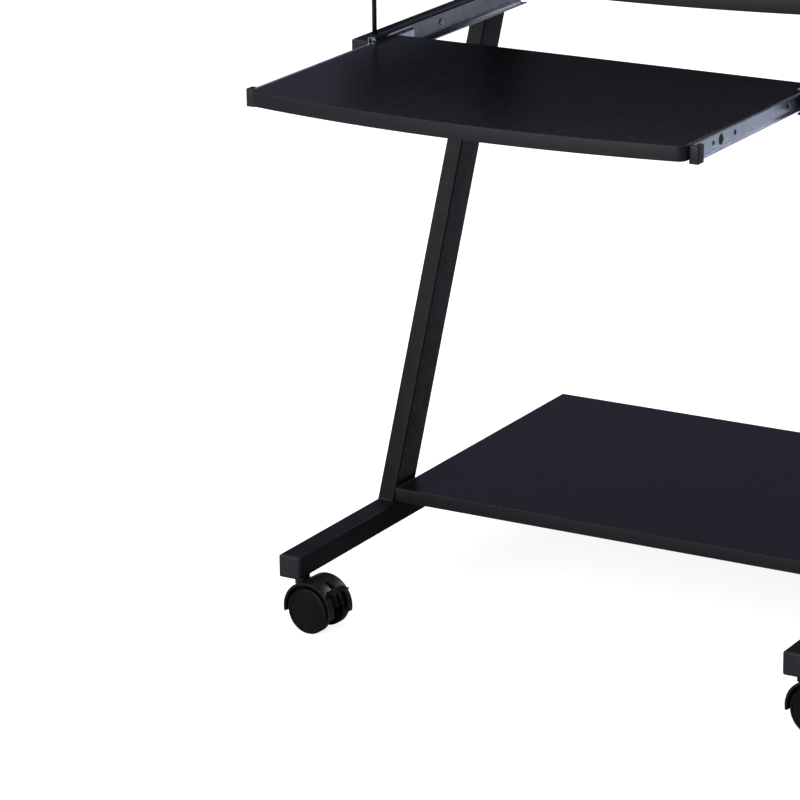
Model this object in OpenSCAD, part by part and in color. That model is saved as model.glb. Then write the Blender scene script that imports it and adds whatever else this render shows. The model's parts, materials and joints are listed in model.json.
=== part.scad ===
// Rolling computer desk with a pull-out keyboard tray.
// +Z is up, +X is the right-hand side and -Y is the side where the user sits.
// The origin is on the floor, under the middle of the whole desk, with the tray pulled out.
// Distances along the desk are measured from the front end of the feet, which is where "reach" is 0.

/* [Frame] */
// Width across the outer faces of the two feet
frame_w = 610; // [560:1:700]
// Length of each foot, with its end plugs
foot_len = 570; // [550:1:575]
// Side of the square foot tube
foot_side = 25; // [22:1:30]
// Height of the feet's underside above the floor
caster_h = 60; // [60:0.5:62]
// Width of the leg tube, across the desk
leg_w = 20; // [18:1:24]
// Depth of the leg tube, square to its own length
leg_d = 40; // [30:1:45]
// Reach of the leg's front face where it meets the foot
leg_reach = 205; // [190:1:215]
// Lean of the legs towards the back, in degrees
leg_lean = 23.3; // [21:0.01:24]
// Wall thickness of the tubes
wall = 1.5; // [1:0.1:2]

/* [Boards] */
// Thickness of every board
board_t = 15; // [12:0.5:18]
// Height of the desktop's underside above the floor
desktop_z = 699; // [680:1:730]
// Width of the desktop
desktop_w = 640; // [620:1:700]
// Reach of the middle of the desktop's bowed front edge
desktop_reach = 78; // [70:1:90]
// Radius of the desktop's bowed front edge
desktop_bow = 1040; // [900:1:1200]
// Radius of the desktop's front corners, seen from above
desktop_corner = 28; // [27:1:28]
// Reach of the desktop's rear edge
desktop_rear = 570; // [545:1:580]
// Width of the bottom shelf
shelf_w = 565; // [563:1:568]
// Reach of the bottom shelf's front edge
shelf_reach = 206; // [195:0.5:215]
// Reach of the bottom shelf's rear edge
shelf_rear = 592; // [570:1:600]

/* [Keyboard tray] */
// Width of the tray board
tray_w = 474; // [440:1:480]
// Height of the tray's top face above the floor
tray_top_z = 623.5; // [620:0.5:628]
// Reach of the middle of the tray's bowed front edge, pulled out
tray_reach = -164.5; // [-170:1:-155]
// Radius of the tray's bowed front edge
tray_bow = 1235; // [1000:1:1500]
// Reach of the tray's rear edge, pulled out
tray_rear = 140.5; // [138:0.5:150]
// Radius of the tray's corners, seen from above
tray_corner = 9; // [8:1:10]

/* [Slides] */
// Length of the outer slide member
slide_len = 325; // [315:1:335]
// Length of the inner slide member, with its bumper
inner_len = 312; // [305:1:315]
// How far the tray is pulled out
travel = 221.5; // [215:0.5:225]
// Height of the outer slide member
outer_h = 27; // [27:0.5:28]
// Height of the inner slide member
inner_h = 17.4; // [17.2:0.1:17.6]
// Thickness of a slide, from the rail to the tray
slide_t = 10; // [10:0.5:11]
// Side of the square rail tube that carries a slide
rail_side = 20; // [18:1:22]
// Reach of the rails' front ends
rail_reach = 101.5; // [95:0.5:105]
// Length of each rail, with its end plugs
rail_len = 368; // [360:1:375]

/* [Casters] */
// Diameter of a caster wheel
wheel_d = 50; // [48:0.5:50]
// Width over the two wheels of a caster
wheels_w = 44; // [42:0.5:46]
// Distance from the swivel axis to the wheel axle
trail = 21; // [20:0.5:22]
// Distance from a foot's end to its caster's swivel axis
stem_inset = 27; // [25:1:30]
// Swivel of the front left caster, in degrees
swivel_front_left = -5; // [-180:1:180]
// Swivel of the front right caster, in degrees
swivel_front_right = -8; // [-180:1:180]
// Swivel of the rear left caster, in degrees
swivel_rear_left = -172; // [-180:1:180]
// Swivel of the rear right caster, in degrees
swivel_rear_right = 16; // [-180:1:180]

/* [Hidden] */

$fn = 64;

// Colours
powder_black = [0.09, 0.09, 0.10];
laminate_black = [0.05, 0.05, 0.06];
plastic_black = [0.07, 0.07, 0.075];
zinc = [0.62, 0.66, 0.70];

// Places that follow from the driving sizes
half_w = frame_w / 2;
foot_top = caster_h + foot_side;
leg_inner = half_w - leg_w;
bar_h = 25;
bar_z = desktop_z - bar_h;
bar_reach = 145;
bar_len = 395;
rail_inner = tray_w / 2 + slide_t;
rail_outer = rail_inner + rail_side;
slide_z = tray_top_z - 0.7 - inner_h / 2;
rail_z = tray_top_z + 0.1 - rail_side;
y_middle = (tray_reach + shelf_rear) / 2;

// Small sizes
gap = 0.05;
tube_corner = 2;
sheet = 1.2;
plug_head = 4;
plug_stub = 12;
crossbar_side = 20;
crossbar_front_reach = 300;
crossbar_rear_reach = 505;
top_crossbar_reach = 515;
hanger_reach = 132;
hanger_r = 2.5;
hanger_plate_r = 12;
hanger_plate_t = 2.5;
hanger_screw_x = 7.5;
hanger_nut_t = 4.5;
rod_end = 9;
bracket_h = 17;
bracket_d = 24;
screw_r = 1.5;
screw_head_r = 3.5;
screw_bite = 9;
ball_r = 1.72;
cage_len = 72;
cage_shift = 3;
bumper_len = 12;
bumper_w = 10;
bumper_h = 18;
bumper_plate_t = 5;
bumper_stop_gap = 0.5;
inner_flange = 4.8;
inner_reach = rail_reach - travel - bumper_len - bumper_stop_gap;
stem_r = 3.5;
thread_r = 4;
wheel_gap = 21;
axle_r = 2.5;
hub_r = 7;
hood_r = 30.6;
hood_wall = 2.5;
hood_w = 40;
web_w = 12;
window_w = 26;
brake_slot = 6.6;
brake_w = 24;
brake_pin_r = 1.5;

// Distances of the slide screws from the outer member's front end, of the tray screws from the
// bumper's front, and of the inner member's open holes from there with their radii
slide_screw_steps = [45, 150, 295];
tray_screw_steps = [96.5, 213.5, 245];
inner_holes = [[50, 2.5], [66.5, 5.2]];
outer_hole_steps = [75, 215];
shelf_screw_x = [-180, 180];
bar_screw_reach = [180, 490];

// Puts a child that is drawn from the front end of the feet into the desk's own frame
module in_desk() {
    translate([0, -y_middle, 0]) children();
}

module left_side() {
    mirror([1, 0, 0]) children();
}

// Square or flat tube section with round corners
module round_rect(w, h, r) {
    square([w - 2 * r, h], center = true);
    square([w, h - 2 * r], center = true);
    for (sx = [-1, 1], sy = [-1, 1])
        translate([sx * (w / 2 - r), sy * (h / 2 - r)]) circle(r, $fn = 32);
}

module tube_section(w, h, t) {
    difference() {
        round_rect(w, h, tube_corner);
        square([w - 2 * t, h - 2 * t], center = true);
    }
}

// Tube that runs along Y from the origin
module tube_y(w, h, t, length) {
    rotate([-90, 0, 0]) linear_extrude(length) tube_section(w, h, t);
}

// Plastic end plug that faces -Y: a head with rounded edges and a hollow stub behind it
module end_plug(w, h, t) {
    edge = 1.6;
    stub_w = w - 2 * t - 0.3;
    stub_h = h - 2 * t - 0.3;
    intersection() {
        rotate([-90, 0, 0]) linear_extrude(plug_head) round_rect(w, h, tube_corner);
        translate([0, plug_head, 0]) linear_extrude(h, center = true) round_rect(w, 2 * plug_head, edge);
        translate([0, plug_head, 0]) rotate([0, 90, 0])
            linear_extrude(w, center = true) round_rect(h, 2 * plug_head, edge);
    }
    translate([0, plug_head, 0]) rotate([-90, 0, 0]) linear_extrude(plug_stub) difference() {
        square([stub_w, stub_h], center = true);
        square([stub_w - 3, stub_h - 3], center = true);
    }
}

// Pan-head screw with its head below the origin and its shank along +Z
module pan_screw(head_r, head_t, length) {
    translate([0, 0, -head_t]) cylinder(h = head_t, r = head_r, $fn = 32);
    cylinder(h = length, r = screw_r, $fn = 24);
}

// ---------- feet, legs and bars ----------

module stem_places() {
    for (reach = [stem_inset, foot_len - stem_inset])
        translate([half_w - foot_side / 2, reach, 0]) children();
}

module foot() {
    difference() {
        translate([half_w - foot_side / 2, plug_head, caster_h + foot_side / 2])
            tube_y(foot_side, foot_side, wall, foot_len - 2 * plug_head);
        stem_places() translate([0, 0, caster_h - 1]) cylinder(h = wall + 2, r = thread_r + gap);
    }
}

module foot_left() {
    color(powder_black) in_desk() left_side() foot();
}

module foot_right() {
    color(powder_black) in_desk() foot();
}

module foot_end_plugs() {
    color(plastic_black) in_desk()
        for (side = [-1, 1])
            translate([side * (half_w - foot_side / 2), 0, caster_h + foot_side / 2]) {
                end_plug(foot_side, foot_side, wall);
                translate([0, foot_len, 0]) mirror([0, 1, 0]) end_plug(foot_side, foot_side, wall);
            }
}

module leg() {
    rise = bar_z - foot_top;
    mid_reach = leg_reach + leg_d / cos(leg_lean) / 2;
    intersection() {
        translate([half_w - leg_w / 2, mid_reach, foot_top]) rotate([-leg_lean, 0, 0])
            linear_extrude(2.4 * rise, center = true) tube_section(leg_w, leg_d, wall);
        translate([half_w - 2 * leg_w, 0, foot_top]) cube([3 * leg_w, foot_len, rise]);
    }
}

module leg_left() {
    color(powder_black) in_desk() left_side() leg();
}

module leg_right() {
    color(powder_black) in_desk() leg();
}

module top_bar() {
    difference() {
        translate([half_w - leg_w / 2, bar_reach + plug_head, bar_z + bar_h / 2])
            tube_y(leg_w, bar_h, wall, bar_len - 2 * plug_head);
        for (reach = bar_screw_reach)
            translate([half_w - leg_w / 2, reach, bar_z - 1]) cylinder(h = bar_h + 2, r = screw_r + gap);
    }
}

module top_bar_left() {
    color(powder_black) in_desk() left_side() top_bar();
}

module top_bar_right() {
    color(powder_black) in_desk() top_bar();
}

module top_bar_plugs() {
    color(plastic_black) in_desk()
        for (side = [-1, 1])
            translate([side * (half_w - leg_w / 2), bar_reach, bar_z + bar_h / 2]) {
                end_plug(leg_w, bar_h, wall);
                translate([0, bar_len, 0]) mirror([0, 1, 0]) end_plug(leg_w, bar_h, wall);
            }
}

// Tube across the desk, between two inner faces
module crossbar(inner_x, reach, z, side) {
    translate([-inner_x, reach, z + side / 2]) rotate([0, 0, -90])
        tube_y(side, side, wall, 2 * inner_x);
}

module top_crossbar() {
    color(powder_black) in_desk()
        crossbar(leg_inner, top_crossbar_reach, desktop_z - crossbar_side, crossbar_side);
}

module shelf_crossbar(reach) {
    difference() {
        crossbar(half_w - foot_side, reach, foot_top - crossbar_side, crossbar_side);
        for (x = shelf_screw_x)
            translate([x, reach, foot_top - crossbar_side - 1])
                cylinder(h = crossbar_side + 2, r = screw_r + gap);
    }
}

module shelf_crossbar_front() {
    color(powder_black) in_desk() shelf_crossbar(crossbar_front_reach);
}

module shelf_crossbar_rear() {
    color(powder_black) in_desk() shelf_crossbar(crossbar_rear_reach);
}

// ---------- rails that carry the slides ----------

module hanger_place() {
    translate([rail_inner + rail_side / 2, hanger_reach, 0]) children();
}

module slide_screw_places() {
    for (step = slide_screw_steps)
        translate([rail_inner - sheet, rail_reach + step, slide_z]) rotate([0, 90, 0]) children();
}

module rail() {
    difference() {
        translate([rail_inner + rail_side / 2, rail_reach + plug_head, rail_z + rail_side / 2])
            tube_y(rail_side, rail_side, sheet, rail_len - 2 * plug_head);
        hanger_place() translate([0, 0, rail_z - 1]) cylinder(h = rail_side + 2, r = hanger_r + gap);
        slide_screw_places() cylinder(h = 2 * sheet + 1, r = screw_r + gap);
    }
}

module rail_left() {
    color(powder_black) in_desk() left_side() rail();
}

module rail_right() {
    color(powder_black) in_desk() rail();
}

module rail_plugs() {
    color(plastic_black) in_desk()
        for (side = [-1, 1])
            translate([side * (rail_inner + rail_side / 2), rail_reach, rail_z + rail_side / 2]) {
                end_plug(rail_side, rail_side, sheet);
                translate([0, rail_len, 0]) mirror([0, 1, 0]) end_plug(rail_side, rail_side, sheet);
            }
}

// Welded spacers between the rear of each rail and its leg
module rail_brackets() {
    reach = leg_reach + (slide_z - foot_top) * tan(leg_lean) + leg_d / cos(leg_lean) / 2;
    color(powder_black) in_desk()
        for (side = [-1, 1])
            translate([side * (rail_outer + leg_inner) / 2, reach, rail_z + rail_side / 2])
                rotate([0, 90, 0]) linear_extrude(leg_inner - rail_outer, center = true)
                    tube_section(bracket_h, bracket_d, wall);
}

// Rod that hangs the rail's front end from the desktop, with its own round top plate
module hanger_rod() {
    difference() {
        hanger_place() {
            translate([0, 0, rail_z - rod_end]) cylinder(h = desktop_z - rail_z + rod_end, r = hanger_r);
            translate([0, 0, desktop_z - hanger_plate_t]) cylinder(h = hanger_plate_t, r = hanger_plate_r);
        }
        hanger_screw_places() translate([0, 0, -hanger_plate_t - 1])
            cylinder(h = hanger_plate_t + 2, r = screw_r + gap);
    }
}

module hanger_screw_places() {
    hanger_place() for (side = [-1, 1]) translate([side * hanger_screw_x, 0, desktop_z]) children();
}

module hanger_rod_left() {
    color(powder_black) in_desk() left_side() hanger_rod();
}

module hanger_rod_right() {
    color(powder_black) in_desk() hanger_rod();
}

module hex_nut(across_flats, height, bore_r) {
    difference() {
        cylinder(h = height, r = across_flats / sqrt(3), $fn = 6);
        translate([0, 0, -1]) cylinder(h = height + 2, r = bore_r);
    }
}

module hanger_nuts() {
    color(zinc) in_desk()
        for (side = [0, 1])
            mirror([side, 0, 0]) hanger_place() translate([0, 0, rail_z - hanger_nut_t])
                hex_nut(8, hanger_nut_t, hanger_r + gap);
}

module hanger_screws() {
    color(zinc) in_desk()
        for (side = [0, 1])
            mirror([side, 0, 0]) hanger_screw_places() translate([0, 0, -hanger_plate_t])
                pan_screw(screw_head_r - 0.5, 1.8, hanger_plate_t + screw_bite);
}

// ---------- boards ----------

// Board outline with a bowed front edge: w wide, front at y0, bow of radius bow_r,
// front corners of radius corner_r and rear corners of radius rear_r
module bowed_outline(w, y0, bow_r, corner_r, y1, rear_r) {
    cx = w / 2 - corner_r;
    cy = y0 + bow_r - sqrt(pow(bow_r - corner_r, 2) - cx * cx);
    tx = cx * bow_r / (bow_r - corner_r);
    intersection() {
        translate([0, y0 + bow_r]) circle(bow_r, $fn = 720);
        translate([-tx, y0 - 1]) square([2 * tx, cy - y0 + 2]);
    }
    for (side = [-1, 1]) {
        translate([side * cx, cy]) circle(corner_r);
        translate([side * (w / 2 - rear_r), y1 - rear_r]) circle(rear_r);
    }
    translate([-w / 2, cy]) square([w, y1 - rear_r - cy]);
    translate([-w / 2 + rear_r, cy]) square([w - 2 * rear_r, y1 - cy]);
}

module desktop_screw_places() {
    for (side = [-1, 1], reach = bar_screw_reach)
        translate([side * (half_w - leg_w / 2), reach, bar_z]) children();
}

module desktop() {
    color(laminate_black) in_desk() difference() {
        translate([0, 0, desktop_z]) linear_extrude(board_t) bowed_outline(
            desktop_w, desktop_reach, desktop_bow, desktop_corner, desktop_rear, desktop_corner / 2);
        desktop_screw_places() translate([0, 0, bar_h - 1]) cylinder(h = screw_bite + 1.2, r = screw_r + gap);
        for (side = [0, 1])
            mirror([side, 0, 0]) hanger_screw_places() translate([0, 0, -1])
                cylinder(h = screw_bite + 1.2, r = screw_r + gap);
    }
}

module desktop_screws() {
    color(zinc) in_desk() desktop_screw_places() pan_screw(screw_head_r, 2.2, bar_h + screw_bite);
}

module shelf_screw_places() {
    for (x = shelf_screw_x, reach = [crossbar_front_reach, crossbar_rear_reach])
        translate([x, reach, foot_top - crossbar_side]) children();
}

module bottom_shelf() {
    color(laminate_black) in_desk() difference() {
        translate([-shelf_w / 2, shelf_reach, foot_top]) cube([shelf_w, shelf_rear - shelf_reach, board_t]);
        shelf_screw_places() translate([0, 0, crossbar_side - 1])
            cylinder(h = screw_bite + 1.2, r = screw_r + gap);
    }
}

module shelf_screws() {
    color(zinc) in_desk() shelf_screw_places() pan_screw(screw_head_r, 2.2, crossbar_side + screw_bite);
}

module tray_screw_places() {
    for (step = tray_screw_steps)
        translate([tray_w / 2, inner_reach + step, slide_z]) rotate([0, -90, 0]) children();
}

module keyboard_tray() {
    color(laminate_black) in_desk() difference() {
        translate([0, 0, tray_top_z - board_t]) linear_extrude(board_t)
            bowed_outline(tray_w, tray_reach, tray_bow, tray_corner, tray_rear, tray_corner);
        for (side = [0, 1])
            mirror([side, 0, 0]) tray_screw_places() translate([0, 0, -1])
                cylinder(h = screw_bite + 1.4, r = screw_r + gap);
    }
}

// ---------- slides ----------

// Channel that runs along Y, with its web on the +X side of x = 0 to -sheet and its
// flanges reaching towards -X; h is its outer height and reach_x the flange's length
module channel(h, reach_x, length) {
    rotate([-90, 0, 0]) linear_extrude(length) {
        translate([-sheet, -h / 2]) square([sheet, h]);
        for (side = [-1, 1])
            translate([-reach_x, side * (h - sheet) / 2 - sheet / 2]) square([reach_x, sheet]);
    }
}

// Outer member: screwed to the rail, with small lips that keep the balls in
module slide_outer() {
    lip = 1.1;
    difference() {
        translate([rail_inner, rail_reach, slide_z]) {
            channel(outer_h, slide_t - 1.4, slide_len);
            for (side = [-1, 1])
                translate([-slide_t + 1.4, 0, side * (outer_h / 2 - sheet - lip / 2) - lip / 2])
                    cube([0.8, slide_len, lip]);
        }
        slide_screw_places() translate([0, 0, -1]) cylinder(h = sheet + 2, r = screw_r + gap);
        for (step = outer_hole_steps)
            translate([rail_inner - sheet - 1, rail_reach + step, slide_z]) rotate([0, 90, 0])
                cylinder(h = sheet + 2, r = 2.6);
    }
}

module slide_outer_left() {
    color(zinc) in_desk() left_side() slide_outer();
}

module slide_outer_right() {
    color(zinc) in_desk() slide_outer();
}

module slide_screws() {
    head_t = 1.1;
    color(zinc) in_desk()
        for (side = [0, 1])
            mirror([side, 0, 0]) slide_screw_places() pan_screw(screw_head_r, head_t, sheet + 7);
}

// Two strips of balls, joined behind the inner member
module ball_cage() {
    strip_t = 1.1;
    strip_back = 1.9;
    web_t = 0.7;
    strip_z = (outer_h / 2 - sheet + inner_h / 2) / 2;
    web_x = rail_inner - 3.4;
    ball_x = rail_inner - 6;
    front = rail_reach + cage_shift;
    translate([0, front, slide_z]) {
        for (side = [-1, 1]) {
            translate([ball_x - strip_back, 0, side * strip_z - strip_t / 2])
                cube([web_x - ball_x + strip_back + web_t, cage_len, strip_t]);
            for (i = [0 : 5])
                translate([ball_x, 8 + i * (cage_len - 16) / 5, side * strip_z]) sphere(ball_r, $fn = 24);
        }
        translate([web_x, 0, -strip_z]) cube([web_t, cage_len, 2 * strip_z]);
    }
}

module ball_cage_left() {
    color(zinc) in_desk() left_side() ball_cage();
}

module ball_cage_right() {
    color(zinc) in_desk() ball_cage();
}

// Inner member: its web lies against the tray's side, and its flanges reach out towards the rail
module slide_inner() {
    difference() {
        translate([rail_inner - slide_t, inner_reach + bumper_plate_t, slide_z])
            mirror([1, 0, 0]) channel(inner_h, inner_flange, inner_len - bumper_plate_t);
        tray_screw_places() translate([0, 0, -sheet - 1]) cylinder(h = sheet + 2, r = 2.7);
        for (hole = inner_holes)
            translate([tray_w / 2 - 1, inner_reach + hole[0], slide_z]) rotate([0, 90, 0])
                cylinder(h = sheet + 2, r = hole[1]);
    }
}

module slide_inner_left() {
    color(zinc) in_desk() left_side() slide_inner();
}

module slide_inner_right() {
    color(zinc) in_desk() slide_inner();
}

// Plastic stop on the inner member's front end: a front plate, a cheek outside the flanges
// and a plug inside the channel
module slide_bumper() {
    plug_h = inner_h - 2 * sheet - 0.3;
    edge = 0.8;
    translate([tray_w / 2 + 0.15, inner_reach, slide_z]) {
        linear_extrude(bumper_h, center = true) polygon([
            [edge, 0], [bumper_w - edge, 0], [bumper_w, edge], [bumper_w, bumper_len],
            [inner_flange + 0.1, bumper_len], [inner_flange + 0.1, bumper_plate_t - 0.3],
            [0, bumper_plate_t - 0.3], [0, edge]
        ]);
        translate([sheet, edge, -plug_h / 2]) cube([inner_flange, bumper_len - edge, plug_h]);
    }
}

module slide_bumper_left() {
    color(plastic_black) in_desk() left_side() slide_bumper();
}

module slide_bumper_right() {
    color(plastic_black) in_desk() slide_bumper();
}

// Flat-head screws, sunk in the inner member's web
module tray_screws() {
    color(plastic_black) in_desk()
        for (side = [0, 1])
            mirror([side, 0, 0]) tray_screw_places() {
                translate([0, 0, -sheet + 0.2]) cylinder(h = sheet - 0.25, r = 2.6);
                translate([0, 0, -0.1]) cylinder(h = screw_bite + 0.1, r = screw_r, $fn = 24);
            }
}

// ---------- casters ----------

// Each caster is drawn about its swivel axis, with its axle towards +X
axle_z = wheel_d / 2;
hood_x = trail - 1.2;
hood_z = axle_z + 0.4;
boss_base = 47;
boss_top = caster_h - 3;
collar_t = 2.7;
collar_r = 7.5;
stem_low = 31;
thread_len = 12;
hood_end = 50;
hood_drop = 10.5;
boss_low = 19;
brake_x = trail + 16.5;
brake_z = axle_z + 13.5;

module caster_place(side, rear, swivel) {
    in_desk()
        translate([side * (half_w - foot_side / 2), rear ? foot_len - stem_inset : stem_inset, 0])
            rotate([0, 0, swivel]) children();
}

module all_stem_places() {
    for (side = [-1, 1], reach = [stem_inset, foot_len - stem_inset])
        translate([side * (half_w - foot_side / 2), reach, 0]) children();
}

// Steel stems: pin for the hood, collar, and thread for the nut in the foot
module caster_stems() {
    color(zinc) in_desk() all_stem_places() {
        translate([0, 0, stem_low]) cylinder(h = caster_h - stem_low, r = stem_r);
        translate([0, 0, caster_h - collar_t]) cylinder(h = collar_t, r = collar_r);
        translate([0, 0, caster_h - 1]) cylinder(h = thread_len, r = thread_r);
    }
}

module caster_nuts() {
    color(zinc) in_desk() all_stem_places()
        translate([0, 0, caster_h + wall]) hex_nut(13, 6.5, thread_r + gap);
}

// Cuts a section drawn in X and Z to a width along Y, centred on the caster
module across(width) {
    rotate([90, 0, 0]) linear_extrude(width, center = true) children();
}

// Section of the hood's shell, which ends a little below the axle on both sides
module shell_section() {
    intersection() {
        difference() {
            translate([hood_x, hood_z]) circle(hood_r);
            translate([hood_x, hood_z]) circle(hood_r - hood_wall);
        }
        translate([trail, axle_z]) polygon([
            [0, 0], [-2 * hood_r, -hood_drop], [-2 * hood_r, 2 * hood_r],
            [2 * hood_r, 2 * hood_r], [2 * hood_r, -hood_drop]
        ]);
    }
}

// Section of the window in the shell's trailing side, where the brake pedal comes out
module window_section() {
    translate([trail, axle_z]) polygon([
        [0, 0], [0, -hood_r], [2 * hood_r, -hood_r], [2 * hood_r, 2 * hood_r],
        [2 * hood_r / tan(hood_end), 2 * hood_r]
    ]);
}

// Section of the web between the wheels
module web_section() {
    web_low = axle_z + 6;
    intersection() {
        translate([hood_x, hood_z]) circle(hood_r - 0.5);
        polygon([
            [-hood_r, boss_low], [trail, boss_low], [trail + 9, web_low], [trail + hood_r, web_low],
            [trail + hood_r, boss_top], [-hood_r, boss_top]
        ]);
    }
    translate([trail, axle_z]) circle(9);
}

module hood() {
    through = 30;
    slot_x = brake_x - 6.5;
    difference() {
        union() {
            difference() {
                across(hood_w) shell_section();
                across(window_w) window_section();
            }
            across(web_w) web_section();
            translate([0, 0, boss_base]) cylinder(h = boss_top - boss_base, r = 8);
        }
        translate([0, 0, stem_low - 1]) cylinder(h = caster_h, r = stem_r + gap);
        translate([trail, 0, axle_z]) rotate([90, 0, 0])
            cylinder(h = through, r = axle_r + gap, center = true);
        translate([slot_x, -brake_slot / 2, axle_z - 20]) cube([hood_w, brake_slot, caster_h]);
        translate([brake_x, 0, brake_z]) rotate([90, 0, 0])
            cylinder(h = through, r = brake_pin_r + gap, center = true);
    }
}

module axle() {
    translate([trail, 0, axle_z]) rotate([90, 0, 0])
        cylinder(h = wheels_w - 6.6, r = axle_r, center = true);
}

// Wheel on the +Y side: tread with round shoulders, a dished outer face and an inner hub
module wheel() {
    half = wheels_w / 2;
    inner = wheel_gap / 2;
    hub = web_w / 2 + 0.3;
    r = wheel_d / 2;
    shoulder = 2;
    translate([trail, 0, axle_z]) rotate([-90, 0, 0]) difference() {
        rotate_extrude($fn = 96) {
            translate([0, hub]) square([hub_r, inner - hub + 1]);
            translate([0, inner]) square([r - shoulder, half - inner]);
            translate([0, inner + shoulder]) square([r, half - inner - 2 * shoulder]);
            translate([r - shoulder, inner + shoulder]) circle(shoulder, $fn = 32);
            translate([r - shoulder, half - shoulder]) circle(shoulder, $fn = 32);
        }
        translate([0, 0, half - 0.8]) difference() {
            cylinder(h = 2, r = r - 3.2);
            translate([0, 0, -1]) cylinder(h = 4, r = r - 4.2);
        }
        translate([0, 0, inner - 1]) difference() {
            cylinder(h = 4, r = r - 4);
            translate([0, 0, -1]) cylinder(h = 6, r = hub_r);
        }
        translate([0, 0, hub - 1]) cylinder(h = half - hub - 2, r = axle_r + gap);
    }
}

// Brake pedal: an arm in the web's slot, a wide tab outside the wheels, and its own pivot pin
module brake() {
    arm_w = brake_slot - 1;
    translate([brake_x, 0, brake_z]) {
        rotate([90, 0, 0]) cylinder(h = web_w - 1, r = brake_pin_r, center = true);
        across(arm_w) {
            circle(4.2);
            polygon([[-3.6, 2], [3.6, -2.2], [9.5, 8.5], [4, 11]]);
        }
        across(brake_w) polygon([
            [4.2, 8.4], [6, 6.8], [13, 7.4], [15, 9.2], [14.6, 10.4], [13, 9.6], [4.6, 10.6]
        ]);
    }
}

module front_left_hood() {
    color(plastic_black) caster_place(-1, false, swivel_front_left) hood();
}

module front_left_axle() {
    color(zinc) caster_place(-1, false, swivel_front_left) axle();
}

module front_left_wheel_a() {
    color(plastic_black) caster_place(-1, false, swivel_front_left) mirror([0, 1, 0]) wheel();
}

module front_left_wheel_b() {
    color(plastic_black) caster_place(-1, false, swivel_front_left) wheel();
}

module front_left_brake() {
    color(plastic_black) caster_place(-1, false, swivel_front_left) brake();
}

module front_right_hood() {
    color(plastic_black) caster_place(1, false, swivel_front_right) hood();
}

module front_right_axle() {
    color(zinc) caster_place(1, false, swivel_front_right) axle();
}

module front_right_wheel_a() {
    color(plastic_black) caster_place(1, false, swivel_front_right) mirror([0, 1, 0]) wheel();
}

module front_right_wheel_b() {
    color(plastic_black) caster_place(1, false, swivel_front_right) wheel();
}

module front_right_brake() {
    color(plastic_black) caster_place(1, false, swivel_front_right) brake();
}

module rear_left_hood() {
    color(plastic_black) caster_place(-1, true, swivel_rear_left) hood();
}

module rear_left_axle() {
    color(zinc) caster_place(-1, true, swivel_rear_left) axle();
}

module rear_left_wheel_a() {
    color(plastic_black) caster_place(-1, true, swivel_rear_left) mirror([0, 1, 0]) wheel();
}

module rear_left_wheel_b() {
    color(plastic_black) caster_place(-1, true, swivel_rear_left) wheel();
}

module rear_right_hood() {
    color(plastic_black) caster_place(1, true, swivel_rear_right) hood();
}

module rear_right_axle() {
    color(zinc) caster_place(1, true, swivel_rear_right) axle();
}

module rear_right_wheel_a() {
    color(plastic_black) caster_place(1, true, swivel_rear_right) mirror([0, 1, 0]) wheel();
}

module rear_right_wheel_b() {
    color(plastic_black) caster_place(1, true, swivel_rear_right) wheel();
}

foot_left();
foot_right();
foot_end_plugs();
leg_left();
leg_right();
top_bar_left();
top_bar_right();
top_bar_plugs();
top_crossbar();
shelf_crossbar_front();
shelf_crossbar_rear();
rail_left();
rail_right();
rail_plugs();
rail_brackets();
hanger_rod_left();
hanger_rod_right();
hanger_nuts();
hanger_screws();
desktop();
desktop_screws();
bottom_shelf();
shelf_screws();
slide_outer_left();
slide_outer_right();
slide_screws();
ball_cage_left();
ball_cage_right();
keyboard_tray();
slide_inner_left();
slide_inner_right();
slide_bumper_left();
slide_bumper_right();
tray_screws();
caster_stems();
caster_nuts();
front_left_hood();
front_left_axle();
front_left_wheel_a();
front_left_wheel_b();
front_left_brake();
front_right_hood();
front_right_axle();
front_right_wheel_a();
front_right_wheel_b();
front_right_brake();
rear_left_hood();
rear_left_axle();
rear_left_wheel_a();
rear_left_wheel_b();
rear_right_hood();
rear_right_axle();
rear_right_wheel_a();
rear_right_wheel_b();
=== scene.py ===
import json
import math

import bmesh
import bpy
from mathutils import Matrix, Vector


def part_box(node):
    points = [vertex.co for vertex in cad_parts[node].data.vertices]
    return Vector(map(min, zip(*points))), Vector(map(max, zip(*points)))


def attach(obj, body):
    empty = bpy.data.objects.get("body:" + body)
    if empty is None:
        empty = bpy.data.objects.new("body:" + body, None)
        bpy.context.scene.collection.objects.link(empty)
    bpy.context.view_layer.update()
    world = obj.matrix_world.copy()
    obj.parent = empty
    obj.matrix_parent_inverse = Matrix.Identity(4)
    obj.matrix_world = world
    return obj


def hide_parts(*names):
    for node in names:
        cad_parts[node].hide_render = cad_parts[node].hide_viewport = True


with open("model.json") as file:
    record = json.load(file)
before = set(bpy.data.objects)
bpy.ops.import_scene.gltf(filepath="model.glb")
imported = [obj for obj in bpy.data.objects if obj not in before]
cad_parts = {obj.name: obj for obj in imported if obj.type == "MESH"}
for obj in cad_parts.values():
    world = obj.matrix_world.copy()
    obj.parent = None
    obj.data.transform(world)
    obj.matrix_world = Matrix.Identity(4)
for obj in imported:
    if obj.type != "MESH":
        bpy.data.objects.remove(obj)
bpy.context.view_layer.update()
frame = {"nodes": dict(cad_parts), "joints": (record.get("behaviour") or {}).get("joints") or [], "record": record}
MM = 0.001

# The camera, fitted to the photo's edges: its place in metres, its angles in degrees and its lens in mm.
CAMERA_PLACE = (1.8791, -3.65945, 1.5630)
CAMERA_AZIMUTH, CAMERA_ELEVATION, CAMERA_ROLL = 30.542, 17.794, -0.703
CAMERA_LENS = 185.07
SENSOR_WIDTH = 36.0
CLIP_START, CLIP_END = 0.05, 200


# ---------------------------------------------------------------- shading

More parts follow.
